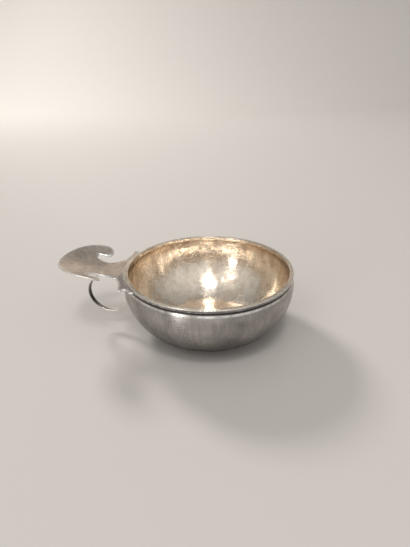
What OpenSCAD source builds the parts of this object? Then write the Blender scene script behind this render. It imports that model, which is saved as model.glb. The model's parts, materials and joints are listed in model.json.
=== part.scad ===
// Tastevin: a shallow silver cup for tasting wine, with a ring handle under a scrolled thumbpiece.
// Millimetres. The bowl's axis is Z, its base stands on z = 0 and the handle points along -X.

/* [Bowl] */
// Height of the bowl from its base to the lip
bowl_h = 32; // [30:0.5:36]
// Outer radius of the bowl at its widest place
belly_r = 40.5; // [38:0.5:44]
// Depth of the widest place below the lip
belly_drop = 6.5; // [5.5:0.25:8]
// Radius of the flat base
base_r = 18; // [16:0.5:21]
// Radius of the curve from the base into the wall
corner_r = 16; // [12:0.5:18]
// Radius of the shoulder between the widest place and the rim band
shoulder_r = 10; // [8:0.5:16]
// Thickness of the bowl's sheet
bowl_t = 0.95; // [0.7:0.05:1.3]

/* [Rim band] */
// Height of the band round the lip
rim_h = 1.7; // [1.3:0.1:2.4]
// Thickness of the band round the lip
rim_t = 0.75; // [0.5:0.05:1.1]
// Bevel along the band's lower outer edge
rim_bevel = 0.25; // [0.1:0.05:0.4]

/* [Thumbpiece plate] */
// Thickness of the plate
plate_t = 0.85; // [0.7:0.05:1]
// Depth of the plate's base below the lip
plate_drop = 0.65; // [0.4:0.05:0.8]
// Turn of the plate about the vertical, in degrees
plate_turn = -1.6; // [-2:0.1:2]
// Radius of the dish under the thumb
dish_r = 42; // [38:1:50]
// Slope of the dish, in degrees
dish_slope = 14.6; // [12:0.1:18]
// Distance from the band out to the bend at the neck
bend_out = 11.1; // [10.6:0.1:11.8]

/* [Thumbpiece outline] */
// Length of the oval outer edge, from its widest place to its end
lobe_l = 18.4; // [17:0.2:20]
// Half the width of the oval outer edge
lobe_w = 17.9; // [17.2:0.1:19]
// Distance from the band out to the widest place of the oval edge
lobe_out = 12.4; // [12:0.1:13]
// Radius of each curled tip
curl_r = 3.2; // [2.8:0.1:3.4]
// Distance of each curled tip's centre inside the widest place
curl_in = 0.8; // [0.4:0.1:1.2]
// Width of the neck at its narrowest
neck_w = 13.8; // [12.5:0.1:15]
// Distance from the band out to the narrowest place of the neck
neck_out = 9.85; // [9.4:0.05:10.2]
// Radius of the bay between a curled tip and a wing
bay_r = 8; // [7.6:0.05:8.5]
// Length of the slot behind a curled tip, past the narrowest place
slot_l = 5.4; // [5:0.1:6]
// Half the distance between the two cusps that part neck and wings
cusp_w = 9.7; // [9.2:0.1:10.2]
// Distance from the band out to the step behind a cusp
cusp_out = 2.5; // [2.1:0.1:2.9]
// Half the span of the two wings
wing_half = 23.6; // [23:0.1:24]
// Radius of the hollow side of a wing
side_r = 25; // [18:1:60]
// Radius of the wing's tip beside the bowl
inner_tip_r = 1.7; // [1.6:0.05:1.8]
// Depth of that tip's centre inside the band's face
inner_tip_in = 0.4; // [0.2:0.05:0.5]
// Radius of the wing's outer tip
outer_tip_r = 1.15; // [1:0.05:1.3]
// Distance between the centres of the two tips of a wing
tip_gap = 5.3; // [5.1:0.05:5.6]
// Step of the outer tip's centre back towards the neck
tip_step = 1.15; // [1:0.05:1.3]
// Radius of the scallop between the two tips
scallop_r = 1.25; // [1.1:0.05:1.4]
// Depth of the scallop below the span of the wings
scallop_depth = 3.2; // [3:0.05:3.4]
// Distance of the scallop from the inner tip's centre
scallop_out = 3.5; // [3.35:0.05:3.65]

/* [Ring handle] */
// Outer radius of the ring
ring_r = 10.3; // [9.3:0.1:11.3]
// Thickness of the ring's strip
ring_t = 0.95; // [0.7:0.05:1.2]
// Width of the ring's strip
ring_w = 2.2; // [1.8:0.1:3]
// Gap between the ring's top and the plate, filled with solder
ring_gap = 1.8; // [1.2:0.1:2.4]
// Reach of the ring in under the rim band
ring_in = 0.4; // [0.2:0.05:0.6]
// Turn of the ring about the vertical, in degrees
ring_turn = -13; // [-15:1:15]

/* [Solder] */
// Height of the solder line under the plate's base
seam_h = 0.9; // [0.6:0.1:1.2]
// Width of that line beyond the band's face
seam_w = 1.1; // [0.8:0.1:1.5]
// Length of the solder along the ring's top
pad_l = 5; // [4:0.25:6]
// Radius of the solder spot between the ring and the wall
spot_r = 3.6; // [3:0.1:4.2]
// Width of that spot beyond each edge of the ring
spot_side = 0.5; // [0.3:0.1:0.8]
// Height of that spot above the ring's centre
spot_up = 1.6; // [1.2:0.1:2]

/* [Hidden] */
$fn = 128;
// Small overrun of a cutting solid
eps = 1;
belly_z = bowl_h - belly_drop;
collar_z = bowl_h - rim_h;
// Wall arc: vertical at the belly and tangent to the corner curve
wall_a = belly_r - base_r;
wall_b = belly_z - corner_r;
wall_r = (wall_a * wall_a + wall_b * wall_b - corner_r * corner_r) / (2 * (wall_a - corner_r));
wall_c = belly_r - wall_r;
wall_dir = atan2(corner_r - belly_z, base_r - wall_c);
shoulder_c = belly_r - shoulder_r;
// Radius of the collar under the band, for a surface set in by a given depth
function collar_r(inset) = shoulder_c + sqrt(pow(shoulder_r - inset, 2) - pow(collar_z - belly_z, 2));
lip_r = collar_r(0);
rim_r = lip_r + rim_t;
// Thumbpiece, measured outwards from the bowl's axis
plate_z = bowl_h - plate_drop;
under_z = plate_z - plate_t;
bend_u = rim_r + bend_out;
lobe_u = rim_r + lobe_out;
curl_u = lobe_u - curl_in;
curl_w = lobe_w - curl_r;
slot_w = curl_w - curl_r;
neck_u = rim_r + neck_out;
slot_u = neck_u + slot_l;
cusp_u = rim_r + cusp_out;
inner_tip_w = wing_half - inner_tip_r;
inner_tip_u = sqrt(pow(rim_r, 2) - pow(inner_tip_w, 2)) - inner_tip_in;
outer_tip_w = inner_tip_w - tip_step;
outer_tip_u = inner_tip_u + tip_gap;
// Ends of the wing's side, and the centre of the arc between them
side_a = [cusp_u, cusp_w];
side_b = [outer_tip_u + outer_tip_r, outer_tip_w];
side_l = norm(side_b - side_a);
side_n = [side_b.y - side_a.y, side_a.x - side_b.x] / side_l;
side_c = (side_a + side_b) / 2 + side_n * sqrt(pow(side_r, 2) - pow(side_l / 2, 2));
// Distance inside the bend at which the dish takes over from the base
split_in = 4.6;
split_u = bend_u - split_in;
plate_end = lobe_u + lobe_l + eps;
// Half the length of the solder line, which ends short of the wings' tips
seam_half = inner_tip_w - inner_tip_r;
ring_u = rim_r + ring_r * cos(ring_turn) - ring_in;
ring_z = under_z - ring_gap - ring_r;

// Half section of the bowl, filled from the axis out to a surface set in from its outside
module bowl_section(inset, top) {
    corner = [base_r, corner_r];
    far = corner + 2 * wall_r * [cos(wall_dir), sin(wall_dir)];
    translate([0, inset]) square([base_r, belly_z - inset]);
    intersection() {
        translate(corner) circle(corner_r - inset);
        square([belly_r, belly_z]);
    }
    intersection() {
        translate([wall_c, belly_z]) circle(wall_r - inset);
        polygon([[0, belly_z],
                 [0, corner_r],
                 corner,
                 far,
                 [far.x + belly_r, far.y],
                 [far.x + belly_r, belly_z]]);
    }
    intersection() {
        translate([shoulder_c, belly_z]) circle(shoulder_r - inset);
        square([belly_r + eps, collar_z]);
    }
    translate([0, belly_z]) square([collar_r(inset), top - belly_z]);
}

// Bowl without its hollow, for seating what is soldered to it
module bowl_form() {
    rotate_extrude($fn = 360) bowl_section(0, bowl_h);
}

module bowl() {
    color([0.80, 0.78, 0.75])
        rotate_extrude()
            difference() {
                bowl_section(0, bowl_h);
                bowl_section(bowl_t, bowl_h + eps);
            }
}

// Half section of the band round the lip, filled outwards from a given radius
module rim_section(inner) {
    polygon([[inner, collar_z],
             [rim_r - rim_bevel, collar_z],
             [rim_r, collar_z + rim_bevel],
             [rim_r, bowl_h],
             [inner, bowl_h]]);
}

// Band without its hollow, for seating what is soldered to it
module rim_form() {
    rotate_extrude() rim_section(0);
}

module rim_band() {
    color([0.84, 0.82, 0.79]) rotate_extrude() rim_section(lip_r);
}

// Bay beside the neck, running on into the slot behind the curled tip
module bay() {
    intersection() {
        translate([neck_u, neck_w / 2 + bay_r]) circle(bay_r);
        translate([cusp_u, 0]) square([slot_u - cusp_u, slot_w]);
    }
}

// One half of the dished end, with the curled tip that the slot sets free
module half_lobe() {
    difference() {
        union() {
            intersection() {
                translate([lobe_u, 0]) scale([lobe_l / lobe_w, 1]) circle(lobe_w);
                translate([lobe_u, 0]) square([lobe_l + eps, lobe_w + eps]);
            }
            translate([curl_u, 0]) square([curl_in, lobe_w]);
            translate([neck_u, 0]) square([curl_u - neck_u, slot_w]);
            translate([inner_tip_u, 0]) square([neck_u - inner_tip_u, cusp_w]);
        }
        bay();
    }
    translate([curl_u, curl_w]) circle(curl_r);
}

// One wing, with its hollow side and its two tips
module wing() {
    difference() {
        union() {
            polygon([[inner_tip_u, 0],
                     [cusp_u, 0],
                     side_a,
                     side_b,
                     [outer_tip_u, outer_tip_w],
                     [inner_tip_u, inner_tip_w]]);
            translate([outer_tip_u, outer_tip_w]) circle(outer_tip_r);
            translate([inner_tip_u, inner_tip_w]) circle(inner_tip_r);
        }
        translate(side_c) circle(side_r, $fn = 360);
        translate([inner_tip_u + scallop_out, wing_half - scallop_depth + scallop_r]) circle(scallop_r);
    }
}

// One half of the plate's outline, out along X and across along Y
module half_plan() {
    half_lobe();
    wing();
}

module plan() {
    half_plan();
    mirror([0, 1]) half_plan();
}

// Block across the whole plate, from one height to another and out to a distance from the bowl's axis
module block(out, low, high) {
    translate([0, -wing_half - eps, low]) cube([out, 2 * (wing_half + eps), high - low]);
}

// Solid above the dish, grown by a depth, from the neck outwards
module dish(depth) {
    intersection() {
        translate([bend_u, 0, plate_z])
            rotate([0, -dish_slope, 0])
                translate([0, 0, dish_r])
                    rotate([0, 90, 0])
                        cylinder(r = dish_r + depth, h = 2 * plate_end, center = true, $fn = 256);
        translate([split_u, -lobe_w - eps, 0])
            cube([plate_end - split_u, 2 * (lobe_w + eps), plate_z + lobe_w]);
    }
}

// Bent sheet of the plate before it is cut out: level base, then the dish rising from the neck
module sheet() {
    intersection() {
        block(plate_end, under_z, plate_z);
        union() {
            block(split_u, 0, bowl_h);
            dish(plate_t);
        }
    }
    difference() {
        dish(plate_t);
        dish(0);
        block(plate_end + eps, -eps, under_z);
    }
}

// Plate cut out of the bent sheet, out along X from the bowl's axis
module plate() {
    intersection() {
        linear_extrude(plate_z + lobe_w) plan();
        sheet();
    }
}

// Frame of the handle: out along -X, turned where the plate meets the band
module at_plate() {
    translate([-rim_r, 0, 0]) rotate([0, 0, 180 + plate_turn]) translate([-rim_r, 0, 0]) children();
}

module thumbpiece() {
    color([0.74, 0.70, 0.65])
        difference() {
            at_plate() plate();
            bowl_form();
            rim_form();
        }
}

// Frame of the ring: its axis along Y, its bowl side along +X
module at_ring() {
    translate([-ring_u, 0, ring_z]) rotate([0, 0, ring_turn]) children();
}

module ring_disc(r, w) {
    rotate([90, 0, 0]) cylinder(r = r, h = w, center = true);
}

module ring_handle() {
    color([0.78, 0.76, 0.73])
        difference() {
            at_ring() ring_disc(ring_r, ring_w);
            at_ring() ring_disc(ring_r - ring_t, ring_w + 2 * eps);
            bowl_form();
        }
}

module thumbpiece_solder() {
    color([0.66, 0.64, 0.61])
        difference() {
            intersection() {
                translate([0, 0, under_z - seam_h]) cylinder(r = rim_r + seam_w, h = seam_h);
                translate([-plate_end, -seam_half, 0]) cube([plate_end, 2 * seam_half, bowl_h]);
            }
            bowl_form();
            rim_form();
        }
}

module ring_top_solder() {
    foot = sqrt(pow(ring_r, 2) - pow(pad_l / 2, 2));
    color([0.66, 0.64, 0.61])
        difference() {
            at_ring() translate([-pad_l / 2, -ring_w / 2, foot])
                cube([pad_l, ring_w, ring_r + ring_gap + plate_t / 2 - foot]);
            at_ring() ring_disc(ring_r, ring_w + 2 * eps);
            thumbpiece();
        }
}

module ring_side_solder() {
    side = ring_w / 2 + spot_side;
    color([0.66, 0.64, 0.61])
        difference() {
            at_ring() translate([ring_r - ring_t, 0, spot_up])
                intersection() {
                    rotate([0, 90, 0]) cylinder(r = spot_r, h = 4 * ring_t);
                    translate([0, -side, -spot_r]) cube([4 * ring_t, 2 * side, 2 * spot_r]);
                }
            at_ring() ring_disc(ring_r, ring_w);
            bowl_form();
        }
}

bowl();
rim_band();
thumbpiece();
ring_handle();
thumbpiece_solder();
ring_top_solder();
ring_side_solder();
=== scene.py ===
"""Looks of the tastevin: a hand-raised silver cup with a banded lip, a dished thumbpiece and a finger ring.

Metres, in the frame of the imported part: the bowl's axis is Z, its base stands on z = 0 and the handle points
along -X.
"""

import json
from math import asin, atan2, ceil, copysign, cos, degrees, dist, hypot, pi, radians, sin, sqrt, tan

import bmesh
import bpy
from mathutils import Matrix, Vector, noise
from mathutils.geometry import delaunay_2d_cdt


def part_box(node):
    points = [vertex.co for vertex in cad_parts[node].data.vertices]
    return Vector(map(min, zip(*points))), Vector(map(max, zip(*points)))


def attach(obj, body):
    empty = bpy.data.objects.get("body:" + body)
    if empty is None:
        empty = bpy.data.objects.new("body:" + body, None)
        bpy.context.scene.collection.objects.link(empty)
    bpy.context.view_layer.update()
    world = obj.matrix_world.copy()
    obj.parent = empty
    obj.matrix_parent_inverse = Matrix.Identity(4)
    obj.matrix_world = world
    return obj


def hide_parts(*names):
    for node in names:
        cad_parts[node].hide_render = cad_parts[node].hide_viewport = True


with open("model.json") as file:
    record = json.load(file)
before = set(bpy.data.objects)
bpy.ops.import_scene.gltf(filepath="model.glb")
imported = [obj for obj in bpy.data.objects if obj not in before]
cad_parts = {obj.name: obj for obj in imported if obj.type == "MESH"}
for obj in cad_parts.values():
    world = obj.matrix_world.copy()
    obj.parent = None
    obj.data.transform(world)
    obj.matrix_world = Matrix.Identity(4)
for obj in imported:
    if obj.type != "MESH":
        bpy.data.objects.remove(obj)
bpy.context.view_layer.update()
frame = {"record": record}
MM = 0.001
UP = Vector((0, 0, 1))

# Bowl and band
BELLY_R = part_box("bowl")[1].x
LIP_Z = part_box("bowl")[1].z
RIM_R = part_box("rim_band")[1].x
COLLAR_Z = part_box("rim_band")[0].z
BELLY_Z = LIP_Z - 6.5 * MM
BASE_R = 18 * MM
CORNER_R = 16 * MM
SHOULDER_R = 10 * MM
SHEET_T = 0.95 * MM
RIM_T = 0.75 * MM
RIM_BEVEL = 0.25 * MM
LIP_R = RIM_R - RIM_T
LIP_ROUND = 0.3 * MM
LIP_STEPS = 5

# Thumbpiece plate, measured outwards from the bowl's axis
PLATE_T = 0.85 * MM
PLATE_Z = LIP_Z - 0.65 * MM
UNDER_Z = PLATE_Z - PLATE_T
PLATE_TURN = radians(-1.6)
DISH_R = 42 * MM
DISH_SLOPE = radians(14.6)
BEND_U = RIM_R + 11.1 * MM
BEND_IN = 4.6 * MM
BEND_BLEND = 0.5 * MM
PLATE_ROUND = 0.4 * MM
LOBE_L = 18.4 * MM
LOBE_W = 17.9 * MM
LOBE_U = RIM_R + 12.4 * MM
CURL_R = 3.2 * MM
CURL_IN = 0.8 * MM
NECK_U = RIM_R + 9.85 * MM
NECK_W = 13.8 * MM
BAY_R = 8 * MM
SLOT_L = 5.4 * MM
CUSP_U = RIM_R + 2.5 * MM
CUSP_W = 9.7 * MM
WING_HALF = 23.6 * MM
SIDE_R = 25 * MM
INNER_TIP_R = 1.7 * MM
INNER_TIP_IN = 0.4 * MM
OUTER_TIP_R = 1.15 * MM
TIP_GAP = 5.3 * MM
TIP_STEP = 1.15 * MM
SCALLOP_R = 1.25 * MM
SCALLOP_DEPTH = 3.2 * MM
SCALLOP_OUT = 3.5 * MM
SEAT_R = RIM_R - 0.45 * MM

# Ring, from the mount that a finger goes through
RING_MOUNT = next(m for m in frame["record"]["mounts"] if m["name"] == "finger_ring")
RING_CENTRE = Vector(RING_MOUNT["pos_m"])
RING_AXIS = -Vector(RING_MOUNT["axis"])
RING_BORE_R = RING_MOUNT["dims"]["r_mm"] * MM
RING_W = RING_MOUNT["dims"]["length_mm"] * MM
RING_T = 0.95 * MM
RING_ROUND = 0.28 * MM

# Photograph's camera
PHOTO_H = 547
PHOTO_FOCAL = 411
CAMERA_PLACE = Vector((-1.81, -177.01, 117.56)) * MM
CAMERA_PITCH = radians(26.76)
CAMERA_ROLL = radians(-0.65)
SENSOR = 36
CLIP_START = 0.01

# Studio: paper, lamps as (place, size, power, seen in mirrors), and world ramps as (from, to, low, high)
PAPER = (0.56, 0.52, 0.48)
PAPER_ROUGHNESS = 0.34
FLOOR_HALF = 12.0
SWEEP_R = 0.5
SWEEP_STEPS = 24
SWEEP_Y = 1.1
BACKDROP_TOP = 1.2
LAMPS = {
    "front": ((0.0, -0.75, 1.7), 0.36, 7.0, True),
    "row": ((0.0, -1.2, 1.75), 0.22, 1.5, True),
    "left": ((-0.82, -0.88, 1.3), 0.5, 1.8, True),
    "low": ((-0.8, -1.0, 0.36), 0.3, 2.0, True),
    "key": ((-0.85, 1.2, 1.05), 0.4, 20.0, False),
}
LAMP_TARGET = Vector((0, 0, 0.02))
OVERHEAD_RAMP = (0.0, 0.7, 0.5, 1.0)
FRONT_RAMP = (-0.5, 0.5, 1.0, 0.2)
LEVEL_RAMP = (0.0, 1.0, 0.12, 0.8)

# Meshes
TURNS = 256
ROUND_STEPS = 4
JOIN = 0.001 * MM

# Unevenness: a coarse wave, and a finer one beside it
COARSE_SHARE = 0.55
FINE_SHARE = 0.25
FINE_STEP = 2.3
FINE_SHIFT = Vector((7.1, 3.7, 5.3))


def spread(start, end, steps):
    """Even values from start to end, both included."""
    return [start + (end - start) * i / steps for i in range(steps + 1)]


def arc(centre, radius, start, end, steps):
    """Points along an arc in a plane, angles in degrees."""
    angles = [radians(a) for a in spread(start, end, steps)]
    return [(centre[0] + radius * cos(a), centre[1] + radius * sin(a)) for a in angles]


def angle_to(centre, point):
    """Direction of a point seen from a centre, in degrees."""
    return degrees(atan2(point[1] - centre[1], point[0] - centre[0]))


def crossing(centre_a, radius_a, centre_b, radius_b, side):
    """The crossing of two circles on one side of the line from centre a to b: 1 is left, -1 is right."""
    gap = dist(centre_a, centre_b)
    along = (gap ** 2 + radius_a ** 2 - radius_b ** 2) / (2 * gap)
    across = side * sqrt(radius_a ** 2 - along ** 2)
    cx = (centre_b[0] - centre_a[0]) / gap
    cy = (centre_b[1] - centre_a[1]) / gap
    return (centre_a[0] + along * cx - across * cy, centre_a[1] + along * cy + across * cx)


def make_mesh(name, points, faces, marks, material):
    """A smooth mesh object, its doubled points joined, with a float attribute for each list in marks."""
    mesh = bpy.data.meshes.new(name)
    mesh.from_pydata([tuple(p) for p in points], [], faces)
    for mark, values in marks.items():
        mesh.attributes.new(mark, "FLOAT", "POINT").data.foreach_set("value", values)
    shell = bmesh.new()
    shell.from_mesh(mesh)
    bmesh.ops.remove_doubles(shell, verts=shell.verts, dist=JOIN)
    bmesh.ops.delete(shell, geom=[v for v in shell.verts if not v.link_faces], context="VERTS")
    bmesh.ops.recalc_face_normals(shell, faces=shell.faces)
    shell.to_mesh(mesh)
    shell.free()
    mesh.shade_smooth()
    mesh.materials.append(material)
    piece = bpy.data.objects.new(name, mesh)
    bpy.context.scene.collection.objects.link(piece)
    return piece


def skin_faces(rows, width, closed_rows, closed_width):
    """Quads between the rows of a grid of points, each row as long as the others."""
    faces = []
    for i in range(rows if closed_rows else rows - 1):
        for j in range(width if closed_width else width - 1):
            a, b = i * width, (i + 1) % rows * width
            k = (j + 1) % width
            faces.append((a + j, a + k, b + k, b + j))
    return faces


def turned(profile, shift):
    """Points of a profile turned about Z, with the radius and height that shift(item, angle) gives each."""
    points = []
    for turn in range(TURNS):
        angle = 2 * pi * turn / TURNS
        for item in profile:
            r, z = shift(item, angle)
            points.append(Vector((r * cos(angle), r * sin(angle), z)))
    return points


def held(value):
    """A value kept between 0 and 1."""
    return min(1.0, max(0.0, value))


def ripple(place, wave):
    """Smooth unevenness from 0 to 1 with features about one wave apart."""
    coarse = noise.noise(place / wave)
    fine = noise.noise(place * FINE_STEP / wave + FINE_SHIFT)
    return held(0.5 + COARSE_SHARE * coarse + FINE_SHARE * fine)


def facets(place, size):
    """Shallow hammer marks of about a size, from 0 at a mark's middle towards 1 where marks meet."""
    return held(noise.voronoi(place / size)[0][0] ** 2)


# Colours of the silver, the pairs from clean to tarnished
# The outside grey is partly tarnish and partly painted shade, darker than the same silver inside
OUTSIDE_GREY = ((0.56, 0.52, 0.49), (0.25, 0.235, 0.22))
OUTSIDE_STREAK = (0.22, 0.21, 0.20)
# Strokes of painted glint
OUTSIDE_PAINTED_GLINT = (0.84, 0.80, 0.76)
# Painted shade low on the wall outside
FOOT_PAINTED_SHADE = (0.065, 0.06, 0.055)
# Painted highlight on the shoulder under the band
SHOULDER_PAINTED_HIGHLIGHT = (0.92, 0.88, 0.82)
INSIDE_WARM = ((0.96, 0.88, 0.77), (0.94, 0.83, 0.69))
INSIDE_BASE = (0.95, 0.85, 0.76)
INSIDE_TARNISH = (0.87, 0.75, 0.61)
INSIDE_STAIN = (0.68, 0.56, 0.44)
INSIDE_PATCH = (0.62, 0.48, 0.36)
INSIDE_SMEAR = (0.60, 0.47, 0.36)
# Tarnish and painted shade in the groove under the band
GROOVE = (0.08, 0.075, 0.07)
# The band's face, darkened as painted shade over its tarnish
BAND_FACE = ((0.34, 0.325, 0.32), (0.20, 0.19, 0.185))
BAND_GLINT = (0.66, 0.63, 0.60)
BAND_EDGE = ((0.93, 0.87, 0.78), (0.82, 0.74, 0.63))
# Tarnish and painted shade under the band
BAND_RECESS = (0.07, 0.065, 0.06)
PLATE_FACE = ((0.90, 0.78, 0.66), (0.76, 0.64, 0.53))
PLATE_BRUSHED = (0.56, 0.48, 0.42)
PLATE_SPECK = (0.46, 0.39, 0.34)
# Painted shade on the plate
PLATE_PAINTED_SHADE = (0.44, 0.40, 0.37)
PLATE_EDGE = (0.93, 0.90, 0.85)
RING_FACE = ((0.84, 0.81, 0.77), (0.60, 0.57, 0.53))
# Painted shade in the ring's bore
RING_BORE_PAINTED_SHADE = (0.10, 0.095, 0.09)
SOLDER_FACE = ((0.62, 0.60, 0.565), (0.34, 0.32, 0.30))

# Noise drawn out upright for strokes of painted glint outside and smears inside, and along the plate for its
# brushing
UPRIGHT = (1, 1, 0.1)
SMEARED = (1, 1, 0.35)
LENGTHWISE = (0.12, 1, 1)
# Scratches: how their layers are turned, and their width in the noise. The shader counts whole turns as 1
SCRATCH_TURNS = ((0, 0, 0.4), (0.3, 0, 1.5), (0, 0.4, 2.6), (0.5, 0.2, 3.9))
SCRATCH_WIDTH = 0.012
QUARTER_TURN = 0.25


class Shader:
    """Adds nodes to one material and links them."""

    def __init__(self, name, colour, roughness):
        self.material = bpy.data.materials.new(name)
        self.material.use_nodes = True
        self.tree = self.material.node_tree
        self.surface = self.tree.nodes["Principled BSDF"]
        self.surface.inputs["Base Color"].default_value = (*colour, 1)
        self.surface.inputs["Roughness"].default_value = roughness
        self.place = self.add("TexCoord").outputs["Object"]

    def add(self, kind, inputs=None, **settings):
        node = self.tree.nodes.new("ShaderNode" + kind)
        for key, value in settings.items():
            setattr(node, key, value)
        for key, value in (inputs or {}).items():
            self.put(node.inputs[key], value)
        return node

    def put(self, socket, value):
        if isinstance(value, bpy.types.NodeSocket):
            self.tree.links.new(value, socket)
        else:
            socket.default_value = value

    def math(self, operation, a, b):
        return self.add("Math", {0: a, 1: b}, operation=operation).outputs[0]

    def mark(self, name):
        return self.add("Attribute", attribute_name=name).outputs["Fac"]

    def fit(self, value, low, high, to_low=0.0, to_high=1.0):
        """A value from low to high moved to another range, and held inside it."""
        places = {"Value": value, "From Min": low, "From Max": high, "To Min": to_low, "To Max": to_high}
        return self.add("MapRange", places, clamp=True).outputs[0]

    def clouds(self, size, detail, stretch=(1, 1, 1), turn=(0, 0, 0)):
        """Noise with features of about a size, drawn out along the axes whose stretch is small."""
        scale = [s / size for s in stretch]
        place = self.add("Mapping", {"Vector": self.place, "Scale": scale, "Rotation": turn}).outputs[0]
        return self.add("TexNoise", {"Vector": place, "Scale": 1, "Detail": detail}).outputs["Fac"]

    def patches(self, size, detail, low, high, to_low=0.0, to_high=1.0, stretch=(1, 1, 1)):
        """Clouds between two levels of their noise, fitted to a range."""
        return self.fit(self.clouds(size, detail, stretch), low, high, to_low, to_high)

    def hairlines(self, size, length, turn):
        """Thin scratches of about a length, running along the turned X axis, as a value from 0 to 1."""
        field = self.clouds(size, 1, (size / length, 1, 1), turn)
        away = self.add("Math", {0: self.math("SUBTRACT", field, 0.5)}, operation="ABSOLUTE").outputs[0]
        return self.fit(away, 0, SCRATCH_WIDTH, 1, 0)

    def plus(self, value, extra, share):
        """A value with a share of another added."""
        return self.math("ADD", value, self.math("MULTIPLY", extra, share))

    def blend(self, amount, low, high):
        """A colour between two, each a socket or a plain colour."""
        node = self.add("Mix", data_type="RGBA")
        colours = [s for s in node.inputs if s.type == "RGBA"]
        self.put(node.inputs["Factor"], amount)
        for socket, colour in zip(colours, (low, high)):
            self.put(socket, colour if isinstance(colour, bpy.types.NodeSocket) else (*colour, 1))
        return next(s for s in node.outputs if s.type == "RGBA")

    def stained(self, under, colour, where, share):
        """A colour laid over another by a share, where a value is high."""
        return self.blend(self.math("MULTIPLY", where, share), under, colour)

    def bump(self, height, strength, distance, normal=None):
        inputs = {"Height": height, "Strength": strength, "Distance": distance}
        if normal:
            inputs["Normal"] = normal
        return self.add("Bump", inputs).outputs[0]

    def burnish(self, amount):
        """Fine lines round the Z axis, which draw highlights out across them."""
        around = self.add("Tangent", direction_type="RADIAL", axis="Z").outputs[0]
        self.surface.inputs["Anisotropic"].default_value = amount
        self.surface.inputs["Anisotropic Rotation"].default_value = QUARTER_TURN
        self.put(self.surface.inputs["Tangent"], around)

    def finish(self, colour, roughness, normal):
        self.surface.inputs["Metallic"].default_value = 1
        self.put(self.surface.inputs["Base Color"], colour)
        self.put(self.surface.inputs["Roughness"], roughness)
        self.put(self.surface.inputs["Normal"], normal)
        return self.material


def scratch_layers(shader, size, length):
    """Crossed layers of hairlines, so that wear runs every way."""
    total = 0.0
    for turn in SCRATCH_TURNS:
        total = shader.math("MAXIMUM", total, shader.hairlines(size, length, turn))
    return total


def outside_colour(shader, tarnish, streaks):
    """Grey silver outside: tarnished and partly darkened as painted shade, darkest at the foot from painted
    shade, streaked upright, with strokes of painted glint and a painted highlight on the shoulder.
    """
    # Upright strokes of painted glint
    strokes = shader.patches(size=0.8 * MM, detail=3, low=0.60, high=0.76, stretch=UPRIGHT)
    # Breaks up the painted highlight on the shoulder
    highlight_breakup = shader.patches(size=3 * MM, detail=5, low=0.36, high=0.6, to_low=0.2)
    # Tarnished grey, partly painted shade
    colour = shader.blend(tarnish, *OUTSIDE_GREY)
    colour = shader.stained(colour, OUTSIDE_STREAK, streaks, share=0.25)
    colour = shader.stained(colour, OUTSIDE_PAINTED_GLINT, strokes, share=0.35)
    # Painted shade, darkest at the foot
    colour = shader.blend(shader.mark("foot"), colour, FOOT_PAINTED_SHADE)
    # Painted highlight on the shoulder
    return shader.stained(colour, SHOULDER_PAINTED_HIGHLIGHT, shader.mark("shoulder"), share=highlight_breakup)


def inside_colour(shader, tarnish, patches):
    """Warm silver inside: paler on the base, stained all over and smeared on the wall."""
    blush = shader.patches(size=32 * MM, detail=3, low=0.35, high=0.65)
    stains = shader.patches(size=3.5 * MM, detail=4, low=0.5, high=0.72)
    smears = shader.patches(size=7 * MM, detail=4, low=0.47, high=0.62, stretch=SMEARED)
    smears = shader.math("MULTIPLY", smears, shader.mark("wall"))
    colour = shader.blend(blush, *INSIDE_WARM)
    colour = shader.blend(shader.mark("base"), colour, INSIDE_BASE)
    colour = shader.blend(tarnish, colour, INSIDE_TARNISH)
    colour = shader.stained(colour, INSIDE_STAIN, stains, share=0.5)
    colour = shader.stained(colour, INSIDE_PATCH, patches, share=0.5)
    return shader.stained(colour, INSIDE_SMEAR, smears, share=0.5)


def bowl_polish(shader, inside, recess, patches, scratches):
    """Roughness of the bowl: fine inside under a thin haze, coarser outside and rougher still in the groove.
    """
    smear = shader.patches(size=5 * MM, detail=6, low=0.3, high=0.7, to_low=0.10, to_high=0.17)
    haze = shader.patches(size=0.4 * MM, detail=2, low=0.50, high=0.60, to_high=0.12)
    haze = shader.plus(haze, patches, share=0.06)
    roughness = shader.plus(smear, scratches, share=0.16)
    roughness = shader.plus(roughness, haze, share=inside)
    roughness = shader.plus(roughness, recess, share=0.3)
    return shader.math("ADD", roughness, shader.fit(inside, 0, 1, to_low=0.15, to_high=0))


def bowl_silver():
    """Silver of the bowl: grey outside, warm inside, dark in the groove from tarnish and painted shade, and
    burnished round its axis.
    """
    shader = Shader("bowl_silver", colour=(0.78, 0.76, 0.73), roughness=0.2)
    inside = shader.mark("inside")
    recess = shader.mark("recess")
    tarnish = shader.patches(size=14 * MM, detail=5, low=0.35, high=0.7)
    streaks = shader.patches(size=1.7 * MM, detail=3, low=0.42, high=0.66, stretch=UPRIGHT)
    patches = shader.patches(size=8 * MM, detail=6, low=0.54, high=0.66)
    scratches = scratch_layers(shader, size=2.4 * MM, length=22 * MM)
    outer = outside_colour(shader, tarnish, streaks)
    colour = shader.blend(inside, outer, inside_colour(shader, tarnish, patches))
    # Tarnish and painted shade in the groove under the band
    colour = shader.blend(recess, colour, GROOVE)
    roughness = bowl_polish(shader, inside, recess, patches, scratches)
    normal = shader.bump(shader.clouds(size=3.2 * MM, detail=2), strength=0.12, distance=0.06 * MM)
    normal = shader.bump(streaks, strength=0.12, distance=0.05 * MM, normal=normal)
    normal = shader.bump(scratches, strength=0.2, distance=0.02 * MM, normal=normal)
    shader.burnish(amount=0.9)
    return shader.finish(colour, roughness, normal)


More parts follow.
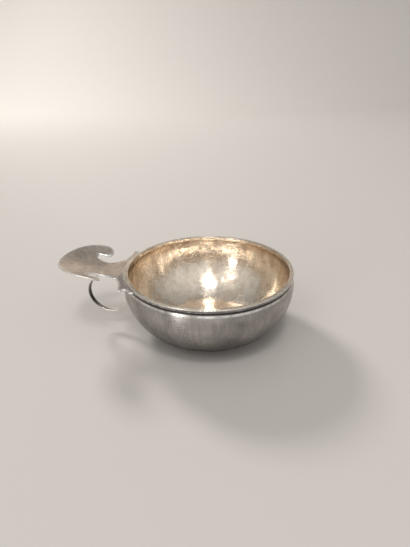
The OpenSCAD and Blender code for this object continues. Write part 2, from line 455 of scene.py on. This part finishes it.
def band_silver():
    """Silver of the lip band: a grey face with glints, darkened as painted shade, tarnish and painted shade at
    the groove, its upper edge worn bright.
    """
    shader = Shader("band_silver", colour=(0.8, 0.78, 0.75), roughness=0.2)
    tarnish = shader.patches(size=9 * MM, detail=5, low=0.3, high=0.7)
    glints = shader.patches(size=1.6 * MM, detail=5, low=0.5, high=0.68)
    # Face darkened as painted shade, over its tarnish
    face = shader.blend(tarnish, *BAND_FACE)
    face = shader.stained(face, BAND_GLINT, glints, share=0.6)
    colour = shader.blend(shader.mark("edge"), face, shader.blend(tarnish, *BAND_EDGE))
    # Tarnish and painted shade under the band
    colour = shader.blend(shader.mark("recess"), colour, BAND_RECESS)
    scratches = scratch_layers(shader, size=2 * MM, length=14 * MM)
    smear = shader.patches(size=4 * MM, detail=5, low=0.3, high=0.7, to_low=0.14, to_high=0.28)
    roughness = shader.plus(smear, scratches, share=0.15)
    normal = shader.bump(shader.clouds(size=2.5 * MM, detail=3), strength=0.3, distance=0.08 * MM)
    normal = shader.bump(scratches, strength=0.2, distance=0.02 * MM, normal=normal)
    return shader.finish(colour, roughness, normal)


def plate_silver():
    """Satin silver of the thumbpiece: brushed and specked, with painted shade beside the bowl, bright along
    its edge.
    """
    shader = Shader("plate_silver", colour=(0.74, 0.69, 0.62), roughness=0.3)
    tarnish = shader.patches(size=10 * MM, detail=6, low=0.32, high=0.68)
    specks = shader.patches(size=2.2 * MM, detail=5, low=0.48, high=0.72)
    brushed = shader.patches(size=0.9 * MM, detail=4, low=0.38, high=0.66, stretch=LENGTHWISE)
    colour = shader.blend(tarnish, *PLATE_FACE)
    colour = shader.stained(colour, PLATE_BRUSHED, brushed, share=0.3)
    colour = shader.stained(colour, PLATE_SPECK, specks, share=0.6)
    # Painted shade on the near wing and towards the dish's edges
    colour = shader.blend(shader.mark("painted_shade"), colour, PLATE_PAINTED_SHADE)
    colour = shader.blend(shader.mark("edge"), colour, PLATE_EDGE)
    scratches = scratch_layers(shader, size=1.8 * MM, length=18 * MM)
    smear = shader.patches(size=3 * MM, detail=6, low=0.3, high=0.7, to_low=0.24, to_high=0.40)
    roughness = shader.plus(smear, scratches, share=0.15)
    normal = shader.bump(shader.clouds(size=2 * MM, detail=4), strength=0.4, distance=0.08 * MM)
    normal = shader.bump(brushed, strength=0.2, distance=0.04 * MM, normal=normal)
    normal = shader.bump(scratches, strength=0.35, distance=0.03 * MM, normal=normal)
    return shader.finish(colour, roughness, normal)


def ring_silver():
    """Silver of the ring, polished by use, with painted shade in its bore on the side away from the bowl."""
    shader = Shader("ring_silver", colour=(0.78, 0.75, 0.71), roughness=0.2)
    tarnish = shader.patches(size=5 * MM, detail=4, low=0.35, high=0.7)
    colour = shader.blend(tarnish, *RING_FACE)
    # Painted shade in the bore, on the side away from the bowl
    colour = shader.blend(shader.mark("bore"), colour, RING_BORE_PAINTED_SHADE)
    scratches = scratch_layers(shader, size=1.2 * MM, length=9 * MM)
    smear = shader.patches(size=2 * MM, detail=4, low=0.3, high=0.7, to_low=0.12, to_high=0.26)
    roughness = shader.plus(smear, scratches, share=0.15)
    normal = shader.bump(shader.clouds(size=1.6 * MM, detail=3), strength=0.3, distance=0.06 * MM)
    normal = shader.bump(scratches, strength=0.2, distance=0.02 * MM, normal=normal)
    return shader.finish(colour, roughness, normal)


def solder_silver():
    """Dull, slightly lumpy solder."""
    shader = Shader("solder_silver", colour=(0.6, 0.58, 0.54), roughness=0.4)
    colour = shader.blend(shader.patches(size=1.6 * MM, detail=4, low=0.35, high=0.7), *SOLDER_FACE)
    roughness = shader.patches(size=0.8 * MM, detail=4, low=0.3, high=0.7, to_low=0.28, to_high=0.5)
    normal = shader.bump(shader.clouds(size=0.9 * MM, detail=3), strength=0.4, distance=0.1 * MM)
    return shader.finish(colour, roughness, normal)


# Bowl: the arcs of its wall, and the steps along its section
WALL_A = BELLY_R - BASE_R
WALL_B = BELLY_Z - CORNER_R
WALL_R = (WALL_A ** 2 + WALL_B ** 2 - CORNER_R ** 2) / (2 * (WALL_A - CORNER_R))
WALL_C = BELLY_R - WALL_R
WALL_DIR = degrees(atan2(CORNER_R - BELLY_Z, BASE_R - WALL_C))
SHOULDER_C = BELLY_R - SHOULDER_R
BASE_STEPS = 24
CORNER_STEPS = 8
WALL_STEPS = 36
SHOULDER_STEPS = 20
# Unevenness of the bowl: depth and wave of the hammering, and of the upright strokes outside
CALM = 1.5 * MM
INSIDE_SHIFT = Vector((0, 0, 0.1))
INSIDE_DEPTH = 0.2 * MM
INSIDE_WAVE = 9 * MM
INSIDE_FINE = 0.09 * MM
INSIDE_FINE_WAVE = 4 * MM
FACET_DEPTH = 0.07 * MM
FACET_SIZE = 6 * MM
OUTSIDE_DEPTH = 0.035 * MM
OUTSIDE_WAVE = 11 * MM
STROKE_DEPTH = 0.03 * MM
STROKE_WAVE = 5 * MM
STROKE_L = 24 * MM
# Dark recess under the band, from tarnish and painted shade, and a painted highlight on the shoulder below it
RECESS_H = 1.05 * MM
RECESS_FADE = 0.4 * MM
HIGHLIGHT_LOW = COLLAR_Z - 2.1 * MM
HIGHLIGHT_TOP = COLLAR_Z - 0.75 * MM
HIGHLIGHT_FADE = 0.4 * MM
# Paler silver on the base inside, where the tasting wears it
BASE_TOP = 3.5 * MM
BASE_FADE = 2 * MM
# Smears on the wall inside, which fade out towards the base
WALL_LOW = 5 * MM
WALL_FADE = 6 * MM
# Painted shade low on the wall outside, darkest at the foot
FOOT_TOP = 21 * MM
FOOT_FADE = 14.5 * MM


def shoulder_end(inset):
    """Angle at which the shoulder meets the collar, for a surface set in from the outside."""
    return degrees(asin((COLLAR_Z - BELLY_Z) / (SHOULDER_R - inset)))


def bowl_side(inset):
    """One side of the bowl's section, from the axis to the collar."""
    points = [(r, inset) for r in spread(0, BASE_R, BASE_STEPS)]
    points += arc((BASE_R, CORNER_R), CORNER_R - inset, -90, WALL_DIR, CORNER_STEPS)[1:]
    points += arc((WALL_C, BELLY_Z), WALL_R - inset, WALL_DIR, 0, WALL_STEPS)[1:]
    points += arc((SHOULDER_C, BELLY_Z), SHOULDER_R - inset, 0, shoulder_end(inset), SHOULDER_STEPS)[1:]
    return points


def bowl_profile():
    """The bowl's section as (radius, height, inside, normal) items, from under the base over the lip."""
    outer = bowl_side(0)
    inner = bowl_side(SHEET_T)
    lip_out = outer[-1][0]
    lip_in = inner[-1][0]
    edge = arc((lip_in + LIP_ROUND, LIP_Z - LIP_ROUND), LIP_ROUND, 90, 180, LIP_STEPS)
    lip = [(lip_out, LIP_Z - LIP_ROUND), (lip_out, LIP_Z)] + edge
    lip.append((lip_in, (LIP_Z + COLLAR_Z) / 2))
    points = outer + lip + inner[::-1]
    turn_over = len(outer) + 1
    profile = []
    for i, point in enumerate(points):
        before = points[max(i - 1, 0)]
        after = points[min(i + 1, len(points) - 1)]
        along = hypot(after[0] - before[0], after[1] - before[1])
        normal = ((after[1] - before[1]) / along, (before[0] - after[0]) / along)
        profile.append((*point, float(i >= turn_over), normal))
    return profile


def hammered(item, angle):
    """A point of the bowl's section turned to an angle, with the soft unevenness that hammering leaves."""
    r, z, inside, normal = item
    place = Vector((r * cos(angle), r * sin(angle), z))
    fade = held((COLLAR_Z - z) / CALM)
    if inside:
        away = place + INSIDE_SHIFT
        push = INSIDE_DEPTH * (ripple(away, INSIDE_WAVE) - 0.5)
        push += INSIDE_FINE * (ripple(away, INSIDE_FINE_WAVE) - 0.5)
        push += FACET_DEPTH * (0.5 - facets(away, FACET_SIZE))
    else:
        fade *= held(z / CALM)
        strokes = Vector((place.x, place.y, z * STROKE_WAVE / STROKE_L))
        push = OUTSIDE_DEPTH * ripple(place, OUTSIDE_WAVE) + STROKE_DEPTH * ripple(strokes, STROKE_WAVE)
    return r - push * fade * normal[0], z - push * fade * normal[1]


def bowl():
    """The raised bowl, its outside and inside in one skin that is closed over the lip."""
    profile = bowl_profile()
    points = turned(profile, hammered)
    outside = [1 - item[2] for item in profile]
    heights = [item[1] for item in profile]
    # Tarnish and painted shade in the recess under the band
    recess = [side * held((z - COLLAR_Z + RECESS_H) / RECESS_FADE) for side, z in zip(outside, heights)]
    # Painted highlight on the shoulder under the band
    shoulder = [side * held((z - HIGHLIGHT_LOW) / HIGHLIGHT_FADE) * held((HIGHLIGHT_TOP - z) / HIGHLIGHT_FADE)
                for side, z in zip(outside, heights)]
    # Painted shade, rising towards the foot
    foot = [side * held((FOOT_TOP - z) / FOOT_FADE) for side, z in zip(outside, heights)]
    base = [(1 - side) * held((BASE_TOP - z) / BASE_FADE) for side, z in zip(outside, heights)]
    wall = [(1 - side) * held((z - WALL_LOW) / WALL_FADE) for side, z in zip(outside, heights)]
    marks = {"inside": [item[2] for item in profile] * TURNS,
             "base": base * TURNS,
             "wall": wall * TURNS,
             "foot": foot * TURNS,
             "recess": recess * TURNS,
             "shoulder": shoulder * TURNS}
    faces = skin_faces(TURNS, len(profile), True, False)
    return make_mesh("bowl_raised", points, faces, marks, bowl_silver())


# Rim band: the sag that wear leaves, and how dark its underside and its lower edge are, from tarnish and
# painted shade
BAND_SAG = 0.06 * MM
BAND_WAVE = 14 * MM
FACE_LOW = COLLAR_Z + 0.4 * MM
UNDERSIDE_DARK = 0.8
BEVEL_DARK = 0.9
BEVEL_START = -60
BEVEL_STEPS = 3


def rim_band():
    """The flat wire round the lip, its edge rounded by wear: items of radius, height, edge and recess."""
    corner = (RIM_R - LIP_ROUND, LIP_Z - LIP_ROUND)
    bevel = (RIM_R - RIM_BEVEL, COLLAR_Z + RIM_BEVEL)
    section = [(LIP_R, COLLAR_Z, 0, 1), (bevel[0], COLLAR_Z, 0, UNDERSIDE_DARK)]
    section += [(r, z, 0, BEVEL_DARK) for r, z in arc(bevel, RIM_BEVEL, BEVEL_START, 0, BEVEL_STEPS)]
    section += [(RIM_R, z, 0, 0) for z in spread(FACE_LOW, LIP_Z - 2 * LIP_ROUND, 2)]
    section += [(r, z, 1, 0) for r, z in arc(corner, LIP_ROUND, 0, 90, LIP_STEPS)]
    section += [(r, LIP_Z, 1, 0) for r in spread(RIM_R - LIP_ROUND, LIP_R, 2)[1:]]

    def worn(item, angle):
        r, z = item[:2]
        place = Vector((cos(angle), sin(angle), 0)) * RIM_R
        return r - BAND_SAG * ripple(place, BAND_WAVE) * (r > LIP_R), z

    points = turned(section, worn)
    faces = skin_faces(TURNS, len(section), True, True)
    marks = {"edge": [float(item[2]) for item in section] * TURNS,
             "recess": [float(item[3]) for item in section] * TURNS}
    return make_mesh("lip_band", points, faces, marks, band_silver())


# Thumbpiece: the centres of its arcs
CURL = (LOBE_U - CURL_IN, LOBE_W - CURL_R)
SLOT_W = CURL[1] - CURL_R
BAY = (NECK_U, NECK_W / 2 + BAY_R)
CUSP = (CUSP_U, CUSP_W)
INNER_TIP_W = WING_HALF - INNER_TIP_R
INNER_TIP = (sqrt(RIM_R ** 2 - INNER_TIP_W ** 2) - INNER_TIP_IN, INNER_TIP_W)
OUTER_TIP = (INNER_TIP[0] + TIP_GAP, INNER_TIP[1] - TIP_STEP)
SCALLOP = (INNER_TIP[0] + SCALLOP_OUT, WING_HALF - SCALLOP_DEPTH + SCALLOP_R)
# The bowl's axis, seen from the turned plate
AXIS = (RIM_R * (1 - cos(PLATE_TURN)), RIM_R * sin(PLATE_TURN))
# Steps along the arcs of its outline, and the angles where the inner tip meets the scallop
OVAL_STEPS = 60
CURL_STEPS = 36
BAY_STEPS = 40
SIDE_STEPS = 20
OUTER_TIP_STEPS = 10
SCALLOP_STEPS = 12
SCALLOP_END = -170
INNER_TIP_START = -12
INNER_TIP_STEPS = 14
SEAT_STEPS = 80
# Its filed edge, its filling and its unevenness
EDGE_STEP = 0.33 * MM
EDGE_NICKS = 0.1 * MM
EDGE_WAVE = 3 * MM
FILL_STEP = 0.8 * MM
PLATE_UNEVEN = 0.06 * MM
PLATE_WAVE = 7 * MM
SLOPE_STEP = 0.05 * MM
FILE_PASSES = 2
ROOM_SHARE = 0.6
LEAST_TURN = 1e-12
INSIDE_ONLY = 1
MERGE = 1e-7
# Where painted shade darkens it
SHADE_SLANT = 2.1
SHADE_FADE = 5 * MM
LOBE_PAINTED_SHADE = 0.4


def wing_side():
    """The hollow side of a wing, from the cusp to the outer tip."""
    end = (OUTER_TIP[0] + OUTER_TIP_R, OUTER_TIP[1])
    length = dist(CUSP, end)
    out = sqrt(SIDE_R ** 2 - length ** 2 / 4) / length
    u = (CUSP[0] + end[0]) / 2 + out * (end[1] - CUSP[1])
    w = (CUSP[1] + end[1]) / 2 + out * (CUSP[0] - end[0])
    return arc((u, w), SIDE_R, angle_to((u, w), CUSP) % 360, angle_to((u, w), end) % 360, SIDE_STEPS)


def half_outline(axis):
    """One half of the plate's outline as (u, w) points, from its outer end round to a bowl with this axis."""
    slot_foot = (NECK_U + SLOT_L, BAY[1] - sqrt(BAY_R ** 2 - SLOT_L ** 2))
    bay_end = (BAY[0] - sqrt(BAY_R ** 2 - (BAY[1] - CUSP_W) ** 2), CUSP_W)
    notch = crossing(OUTER_TIP, OUTER_TIP_R, SCALLOP, SCALLOP_R, -1)
    seat = crossing(axis, SEAT_R, INNER_TIP, INNER_TIP_R, 1)
    turns = [radians(a) for a in spread(0, 90, OVAL_STEPS)]
    points = [(LOBE_U + LOBE_L * cos(a), LOBE_W * sin(a)) for a in turns]
    points += arc(CURL, CURL_R, 90, 270, CURL_STEPS)
    points += [(slot_foot[0], SLOT_W)]
    points += arc(BAY, BAY_R, angle_to(BAY, slot_foot), angle_to(BAY, bay_end), BAY_STEPS)
    points += wing_side()
    points += arc(OUTER_TIP, OUTER_TIP_R, 0, angle_to(OUTER_TIP, notch), OUTER_TIP_STEPS)[1:]
    points += arc(SCALLOP, SCALLOP_R, angle_to(SCALLOP, notch), SCALLOP_END, SCALLOP_STEPS)[1:]
    points += arc(INNER_TIP, INNER_TIP_R, INNER_TIP_START, angle_to(INNER_TIP, seat), INNER_TIP_STEPS)
    return points


def whole_outline():
    """The plate's closed outline, counter-clockwise: near half, seat on the band, far half."""
    near = half_outline(AXIS)
    far = [(u, -w) for u, w in half_outline((AXIS[0], -AXIS[1]))]
    seat = arc(AXIS, SEAT_R, angle_to(AXIS, near[-1]), angle_to(AXIS, far[-1]), SEAT_STEPS)
    return near + seat[1:-1] + far[:0:-1]


def evened(points, step):
    """A closed line drawn again with even steps, its corners softened as a file leaves them."""
    loop = points + points[:1]
    lengths = [dist(a, b) for a, b in zip(loop, loop[1:])]
    count = ceil(sum(lengths) / step)
    stride = sum(lengths) / count
    result = []
    walked = 0.0
    for a, b, length in zip(loop, loop[1:], lengths):
        while len(result) < count and len(result) * stride < walked + length:
            t = (len(result) * stride - walked) / length
            result.append((a[0] + t * (b[0] - a[0]), a[1] + t * (b[1] - a[1])))
        walked += length
    for _ in range(FILE_PASSES):
        neighbours = zip(result[-1:] + result[:-1], result, result[1:] + result[:1])
        result = [tuple(0.25 * (a + c) + 0.5 * b for a, b, c in zip(*three)) for three in neighbours]
    return result


def plate_top(u, w):
    """Height of the plate's top: a level base that bends up at the neck into the dish, a little uneven."""
    trough = (DISH_R - sqrt(DISH_R ** 2 - w ** 2)) / cos(DISH_SLOPE)
    dish = (u - BEND_U) * tan(DISH_SLOPE) + trough
    soft = BEND_BLEND * held((u - BEND_U) / BEND_IN + 1)
    rise = (dish + hypot(dish, soft)) / 2 if u > BEND_U - BEND_IN else 0
    return PLATE_Z + rise - PLATE_UNEVEN * ripple(Vector((u, w, 0)), PLATE_WAVE)


def plate_point(u, w, depth):
    """A point straight below the plate's top, at a depth square to the sheet, in the part's frame."""
    rise_u = (plate_top(u + SLOPE_STEP, w) - plate_top(u - SLOPE_STEP, w)) / (2 * SLOPE_STEP)
    rise_w = (plate_top(u, w + SLOPE_STEP) - plate_top(u, w - SLOPE_STEP)) / (2 * SLOPE_STEP)
    drop = depth * sqrt(1 + rise_u ** 2 + rise_w ** 2)
    out = u - RIM_R
    x = -RIM_R - out * cos(PLATE_TURN) + w * sin(PLATE_TURN)
    y = -out * sin(PLATE_TURN) - w * cos(PLATE_TURN)
    return Vector((x, y, plate_top(u, w) - drop))


def plate_painted_shade(u, w):
    """How much painted shade darkens the plate: most on the near wing beside the bowl, a little towards the
    dish's edges.
    """
    wing = held((w - CUSP_W + SHADE_SLANT * (CUSP_U - u)) / SHADE_FADE + 0.5)
    lobe = LOBE_PAINTED_SHADE * held((abs(w) - LOBE_W / 3) / (LOBE_W / 2)) * held((u - NECK_U) / BEND_IN)
    return lobe if u > NECK_U else wing


def inset_loop(loop, depths):
    """A closed counter-clockwise line moved inwards by a depth at each point."""
    result = []
    for a, b, c, depth in zip(loop[-1:] + loop[:-1], loop, loop[1:] + loop[:1], depths):
        along = dist(a, c)
        result.append((b[0] - depth * (c[1] - a[1]) / along, b[1] + depth * (c[0] - a[0]) / along))
    return result


def room_inside(loop, most):
    """How far each point of a closed line can move inwards before its corner folds over."""
    room = []
    for a, b, c in zip(loop[-1:] + loop[:-1], loop, loop[1:] + loop[:1]):
        turn = (b[0] - a[0]) * (c[1] - b[1]) - (b[1] - a[1]) * (c[0] - b[0])
        radius = dist(a, b) * dist(b, c) * dist(a, c) / max(2 * turn, LEAST_TURN)
        room.append(min(most, ROOM_SHARE * radius))
    count = len(loop)
    return [min(room[(i + k) % count] for k in (-2, -1, 0, 1, 2)) for i in range(count)]


def inside_loop(point, loop):
    """True where a point lies inside a closed line."""
    u, w = point
    odd = False
    for a, b in zip(loop, loop[1:] + loop[:1]):
        if (a[1] > w) != (b[1] > w) and u < a[0] + (w - a[1]) / (b[1] - a[1]) * (b[0] - a[0]):
            odd = not odd
    return odd


def filling(loop, step):
    """Points of a triangular lattice inside a closed line, clear of the line itself."""
    clear = inset_loop(loop, [step / 2] * len(loop))
    rows = ceil(2 * WING_HALF / (step * sqrt(3) / 2))
    points = []
    for row in range(rows):
        w = row * step * sqrt(3) / 2 - WING_HALF
        for column in range(ceil((LOBE_U + LOBE_L) / step)):
            point = ((column + row % 2 / 2) * step, w)
            if inside_loop(point, clear):
                points.append(point)
    return points


def thumbpiece():
    """The plate, cut out, dished and filed: rounded edges round a filled top and underside."""
    outline = evened(whole_outline(), EDGE_STEP)
    outline = inset_loop(outline, [EDGE_NICKS * ripple(Vector((*p, 0)), EDGE_WAVE) for p in outline])
    room = room_inside(outline, PLATE_ROUND)
    edge = arc((1, 1), 1, -90, -180, ROUND_STEPS)
    edge += [(a, 2 - b) for a, b in reversed(edge)]
    loops = [inset_loop(outline, [a * depth for depth in room]) for a, _ in edge]
    drops = [b * PLATE_ROUND if b <= 1 else PLATE_T - (2 - b) * PLATE_ROUND for _, b in edge]
    count = len(outline)
    plan = [(p, drop, 1.0) for loop, drop in zip(loops, drops) for p in loop]
    faces = skin_faces(len(loops), count, False, True)
    for loop, start, drop in ((loops[0], 0, 0), (loops[-1], len(plan) - count, PLATE_T)):
        lattice = filling(loop, FILL_STEP)
        corners = [Vector(p) for p in loop + lattice]
        flat = delaunay_2d_cdt(corners, [], [list(range(count))], INSIDE_ONLY, MERGE)
        first = len(plan)
        plan += [(p, drop, 0.0) for p in lattice]
        for face in flat[2]:
            ids = [flat[3][v][0] for v in face]
            faces.append(tuple(start + i if i < count else first + i - count for i in ids))
    points = [plate_point(*p, drop) for p, drop, _ in plan]
    marks = {"edge": [mark for _, _, mark in plan], "painted_shade": [plate_painted_shade(*p) for p, _, _ in plan]}
    return make_mesh("thumb_plate", points, faces, marks, plate_silver())


# Ring
RING_OUT = RING_AXIS.cross(UP)
RING_MID_R = RING_BORE_R + RING_T / 2
RING_STEPS = 128
RING_UNEVEN = 0.12 * MM
RING_WAVE = 8 * MM
# Painted shade in its bore, which deepens towards the side away from the bowl: its start and its slope
BORE_SHADE_START = 0.6
BORE_SHADE_SLOPE = 1.8
# The seam under the plate
SEAM_H = 0.9 * MM
SEAM_W = 1.1 * MM
SEAM_HALF = INNER_TIP_W - INNER_TIP_R
SEAM_IN = 0.3 * MM
SEAM_STEPS = 96
SEAM_TAPER = 5 * MM
SEAM_THIN = 0.35
SEAM_LUMPS = 0.3
SEAM_WAVE = 3 * MM
FILLET_STEPS = 8
# The ring's two joints, with half widths and half lengths at foot, middle and head
TOP_WIDTHS = (1.15 * MM, 0.9 * MM, 1.2 * MM)
TOP_LENGTHS = (2.3 * MM, 1.75 * MM, 2.5 * MM)
SPOT_WIDTHS = (1.6 * MM, 1.4 * MM, 1.05 * MM)
SPOT_LENGTHS = (3.5 * MM, 2.9 * MM, 2.2 * MM)
SPOT_UP = 1.6 * MM
SPOT_SINK = 0.05 * MM
SPOT_DEEP = 0.7 * RING_T
# The shape of the solder in both
SQUARENESS = 0.55
BRIDGE_ROWS = 14
BRIDGE_SIDES = 40
BRIDGE_LUMPS = 0.12
BRIDGE_WAVE = 1.6 * MM


def ring_point(angle, radius, along):
    """A point of the ring: angle from the bowl's side upwards, radius from its centre, along its axis."""
    return RING_CENTRE + radius * (cos(angle) * RING_OUT + sin(angle) * UP) + along * RING_AXIS


def strip_section():
    """The ring's strip in section, as (thickness, width) offsets from its middle."""
    half_t = RING_T / 2 - RING_ROUND
    half_w = RING_W / 2 - RING_ROUND
    corners = ((half_t, half_w), (-half_t, half_w), (-half_t, -half_w), (half_t, -half_w))
    section = []
    for i, corner in enumerate(corners):
        section += arc(corner, RING_ROUND, 90 * i, 90 * (i + 1), ROUND_STEPS)
    return section


def ring_handle():
    """The bent strip of the ring, a little uneven from the hand that bent it."""
    section = strip_section()
    points = []
    bore = []
    for i in range(RING_STEPS):
        angle = 2 * pi * i / RING_STEPS
        way = Vector((cos(angle), sin(angle), 0)) * RING_MID_R
        pull = -RING_UNEVEN * ripple(way, RING_WAVE)
        # Painted shade, deepest on the side away from the bowl
        bore_shade = held(-BORE_SHADE_START - BORE_SHADE_SLOPE * cos(angle))
        points += [ring_point(angle, RING_MID_R + t + pull, w) for t, w in section]
        bore += [bore_shade * held(0.5 - t / (RING_T / 2)) for t, _ in section]
    faces = skin_faces(RING_STEPS, len(section), True, True)
    return make_mesh("finger_ring", points, faces, {"bore": bore}, ring_silver())


def wall_radius(z):
    """Outer radius of the bowl at a height between its lower wall and its collar."""
    centre, radius = (SHOULDER_C, SHOULDER_R) if z > BELLY_Z else (WALL_C, WALL_R)
    return centre + sqrt(radius ** 2 - (z - BELLY_Z) ** 2)


def capped(rows, width):
    """Faces of a tube between its rows of points, closed at both ends."""
    last = (rows - 1) * width
    return skin_faces(rows, width, False, True) + [tuple(range(width)), tuple(range(last, last + width))]


def seam_solder(material):
    """The solder line along under the plate's base: a hollow fillet that thins out at both ends."""
    half_turn = asin(SEAM_HALF / RIM_R)
    points = []
    for turn in spread(-half_turn, half_turn, SEAM_STEPS):
        way = Vector((-cos(turn), -sin(turn), 0))
        end = held((half_turn - abs(turn)) * RIM_R / SEAM_TAPER)
        size = (SEAM_THIN + (1 - SEAM_THIN) * end) * (1 - SEAM_LUMPS * ripple(way * RIM_R, SEAM_WAVE))
        low = UNDER_Z - SEAM_H * size
        outer = RIM_R + SEAM_W * size
        wall = wall_radius(low)
        section = [(LIP_R - SEAM_IN, UNDER_Z + SEAM_IN), (outer, UNDER_Z + SEAM_IN)]
        for angle in spread(0, pi / 2, FILLET_STEPS):
            r = outer - (outer - wall) * sin(angle)
            section.append((r, UNDER_Z - (UNDER_Z - low) * (1 - cos(angle))))
        section.append((LIP_R - SEAM_IN, low))
        points += [way * r + UP * z for r, z in section]
    faces = capped(SEAM_STEPS + 1, len(section))
    return make_mesh("seam_solder", points, faces, {}, material)


def through(t, start, middle, end):
    """A smooth size along a length: start at 0, middle at a half, end at 1."""
    return start * (1 - t) * (1 - 2 * t) + 4 * middle * t * (1 - t) + end * t * (2 * t - 1)


def squarish(value):
    """A sine or cosine drawn out, so that a circle becomes a rounded square."""
    return copysign(abs(value) ** SQUARENESS, value)


def solder_bridge(name, foot, along, side, widths, lengths, material):
    """A waisted block of solder from a foot along a way, with three half widths and half lengths."""
    across = along.cross(side).normalized()
    points = []
    for t in spread(0, 1, BRIDGE_ROWS):
        centre = foot + t * along
        for k in range(BRIDGE_SIDES):
            angle = 2 * pi * k / BRIDGE_SIDES
            reach = squarish(cos(angle)) * through(t, *widths) * side
            reach += squarish(sin(angle)) * through(t, *lengths) * across
            lump = 1 - BRIDGE_LUMPS * ripple(centre + reach, BRIDGE_WAVE)
            points.append(centre + lump * reach)
    return make_mesh(name, points, capped(BRIDGE_ROWS + 1, BRIDGE_SIDES), {}, material)


def ring_top_solder(material):
    """The solder between the ring's top and the plate's underside."""
    foot = RING_CENTRE + UP * (RING_BORE_R + RING_T / 2)
    along = UP * (UNDER_Z + PLATE_T / 2 - foot.z)
    return solder_bridge("top_solder", foot, along, RING_AXIS, TOP_WIDTHS, TOP_LENGTHS, material)


def ring_side_solder(material):
    """The solder where the ring meets the wall, square to the wall."""
    lean = asin((RING_CENTRE.z + SPOT_UP - BELLY_Z) / WALL_R)
    away = -RING_OUT * cos(lean) + UP * sin(lean)
    reach = sqrt((RING_BORE_R + RING_T) ** 2 - SPOT_UP ** 2)
    foot = RING_CENTRE + RING_OUT * reach + UP * SPOT_UP - away * SPOT_SINK
    along = away * (SPOT_SINK + SPOT_DEEP)
    return solder_bridge("side_solder", foot, along, RING_AXIS, SPOT_WIDTHS, SPOT_LENGTHS, material)


def camera():
    """The photograph's camera, fitted to the ellipse of the rim."""
    data = bpy.data.cameras.new("camera")
    data.sensor_width = SENSOR
    data.lens = SENSOR * PHOTO_FOCAL / PHOTO_H
    data.clip_start = CLIP_START
    eye = bpy.data.objects.new("camera", data)
    bpy.context.scene.collection.objects.link(eye)
    forward = Vector((0, cos(CAMERA_PITCH), -sin(CAMERA_PITCH)))
    up = Vector((0, sin(CAMERA_PITCH), cos(CAMERA_PITCH)))
    turn = Matrix((Vector((1, 0, 0)), up, -forward)).transposed().to_4x4()
    eye.matrix_world = Matrix.Translation(CAMERA_PLACE) @ turn @ Matrix.Rotation(CAMERA_ROLL, 4, "Z")
    bpy.context.scene.camera = eye


def studio():
    """A pale floor that sweeps up into a backdrop, soft lamps in front and behind, and a plain world."""
    paper = Shader("backdrop_paper", PAPER, PAPER_ROUGHNESS)
    sweep = arc((SWEEP_Y, SWEEP_R), SWEEP_R, -90, 0, SWEEP_STEPS)
    section = [(-FLOOR_HALF, 0.0)] + sweep + [(SWEEP_Y + SWEEP_R, BACKDROP_TOP)]
    points = [Vector((x, y, z)) for x in (-FLOOR_HALF, FLOOR_HALF) for y, z in section]
    make_mesh("backdrop", points, skin_faces(2, len(section), False, False), {}, paper.material)
    for name, (spot, size, power, mirrored) in LAMPS.items():
        light = bpy.data.lights.new(name, "AREA")
        light.shape = "DISK"
        light.size = size
        light.energy = power
        lamp = bpy.data.objects.new(name, light)
        lamp.location = spot
        lamp.rotation_euler = (LAMP_TARGET - lamp.location).to_track_quat("-Z", "Y").to_euler()
        lamp.visible_glossy = mirrored
        bpy.context.scene.collection.objects.link(lamp)
    bpy.context.scene.world = sky()
    bpy.context.scene.view_settings.view_transform = "Standard"


def sky():
    """A plain world: dim round the horizon, brighter overhead and most so in front."""
    world = bpy.data.worlds.new("studio")
    world.use_nodes = True
    nodes = world.node_tree.nodes
    links = world.node_tree.links

    def fitted(value, ramp):
        node = nodes.new("ShaderNodeMapRange")
        links.new(value, node.inputs["Value"])
        for name, number in zip(("From Min", "From Max", "To Min", "To Max"), ramp):
            node.inputs[name].default_value = number
        return node.outputs[0]

    parts = nodes.new("ShaderNodeSeparateXYZ")
    links.new(nodes.new("ShaderNodeTexCoord").outputs["Generated"], parts.inputs[0])
    overhead = fitted(parts.outputs["Z"], OVERHEAD_RAMP)
    in_front = fitted(parts.outputs["Y"], FRONT_RAMP)
    both = nodes.new("ShaderNodeMath")
    both.operation = "MULTIPLY"
    links.new(overhead, both.inputs[0])
    links.new(in_front, both.inputs[1])
    level = fitted(both.outputs[0], LEVEL_RAMP)
    links.new(level, nodes["Background"].inputs["Strength"])
    nodes["Background"].inputs["Color"].default_value = (1, 1, 1, 1)
    return world


def place(piece, node, slot):
    """A finished piece takes the place of its solid."""
    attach(piece, "root")
    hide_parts(node)


camera()
studio()
place(bowl(), "bowl", "bowl_silver")
place(rim_band(), "rim_band", "band_silver")
place(thumbpiece(), "thumbpiece", "plate_silver")
place(ring_handle(), "ring_handle", "ring_silver")
SOLDER = solder_silver()
place(seam_solder(SOLDER), "thumbpiece_solder", "solder_silver")
place(ring_top_solder(SOLDER), "ring_top_solder", "solder_silver")
place(ring_side_solder(SOLDER), "ring_side_solder", "solder_silver")
